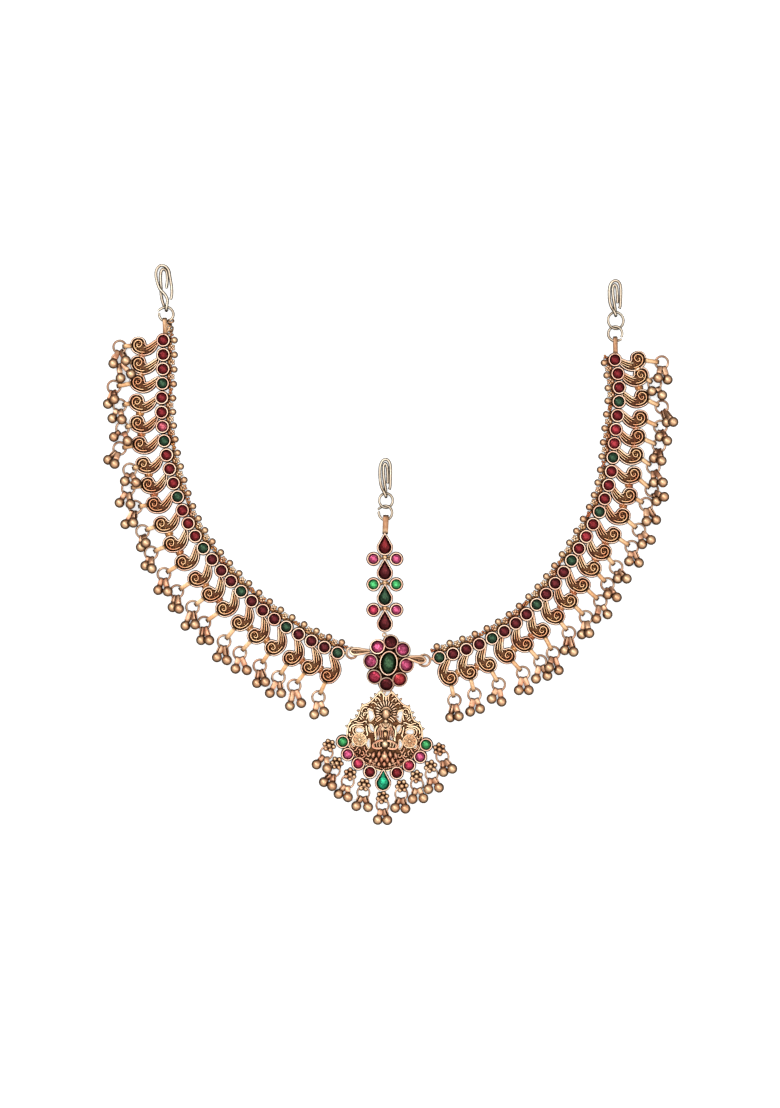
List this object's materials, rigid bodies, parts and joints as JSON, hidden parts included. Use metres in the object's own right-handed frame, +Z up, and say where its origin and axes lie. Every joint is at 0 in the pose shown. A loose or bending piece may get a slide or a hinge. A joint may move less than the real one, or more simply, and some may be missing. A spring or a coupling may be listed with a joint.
{
  "type": "matha patti head ornament",
  "caption": "Antique gold Indian head ornament: two curved wings with hanging bells, a centre strip of stones, a flower and a pendant, each free end with a wire hook.",
  "frame": {"origin": "middle of the flower's back, on the surface that the ornament lies on", "axes": "+Z up out of the face of the stones, +Y from the flower along the centre strip to its hook, +X to the right wing"},
  "size_m": [0.1999, 0.1956, 0.0076],
  "materials": {
    "antique_gold": "antique matte gold plating, darkened in the recesses",
    "pendant_gold": "antique matte gold plating, slightly greener",
    "pale_gold": "pale gold plated wire, bright",
    "stone_ruby": "foil-backed cut glass, polished",
    "stone_garnet": "foil-backed cut glass, polished",
    "stone_pink": "foil-backed cut glass, polished",
    "stone_coral": "foil-backed cut glass, polished",
    "stone_green": "foil-backed cut glass, polished",
    "stone_emerald": "foil-backed cut glass, polished"
  },
  "bodies": {
    "root": {"left_wing_1": "antique_gold", "left_wing_2": "antique_gold", "left_wing_3": "antique_gold", "left_wing_4": "antique_gold", "left_wing_5": "antique_gold", "left_wing_6": "antique_gold", "left_wing_7": "antique_gold", "right_wing_1": "antique_gold", "right_wing_2": "antique_gold", "right_wing_3": "antique_gold", "right_wing_4": "antique_gold", "right_wing_5": "antique_gold", "right_wing_6": "antique_gold", "right_wing_7": "antique_gold", "strip_setting": "antique_gold", "flower_setting": "antique_gold", "pendant_plate": "pendant_gold", "pendant_drop_1": "antique_gold", "pendant_drop_2": "antique_gold", "pendant_drop_3": "antique_gold", "pendant_drop_4": "antique_gold", "pendant_drop_5": "antique_gold", "pendant_drop_6": "antique_gold", "pendant_drop_7": "antique_gold", "pendant_drop_8": "antique_gold", "pendant_drop_9": "antique_gold", "strip_link": "antique_gold", "pendant_link": "antique_gold", "left_hook": "pale_gold", "right_hook": "pale_gold", "centre_hook": "pale_gold", "left_hook_ring": "pale_gold", "right_hook_ring_1": "pale_gold", "right_hook_ring_2": "pale_gold", "centre_hook_ring_1": "pale_gold", "centre_hook_ring_2": "pale_gold", "strip_pear_1": "stone_ruby", "strip_pear_2": "stone_garnet", "strip_pear_3": "stone_emerald", "strip_pear_4": "stone_garnet", "strip_round_1": "stone_pink", "strip_round_2": "stone_pink", "strip_round_3": "stone_green", "strip_round_4": "stone_green", "strip_round_5": "stone_pink", "strip_round_6": "stone_pink", "flower_oval": "stone_emerald", "flower_round_1": "stone_pink", "flower_round_2": "stone_pink", "flower_round_3": "stone_garnet", "flower_round_4": "stone_pink", "flower_round_5": "stone_pink", "flower_round_6": "stone_pink", "flower_round_7": "stone_garnet", "flower_round_8": "stone_coral", "pendant_pear": "stone_emerald"}
  },
  "joints": []
}
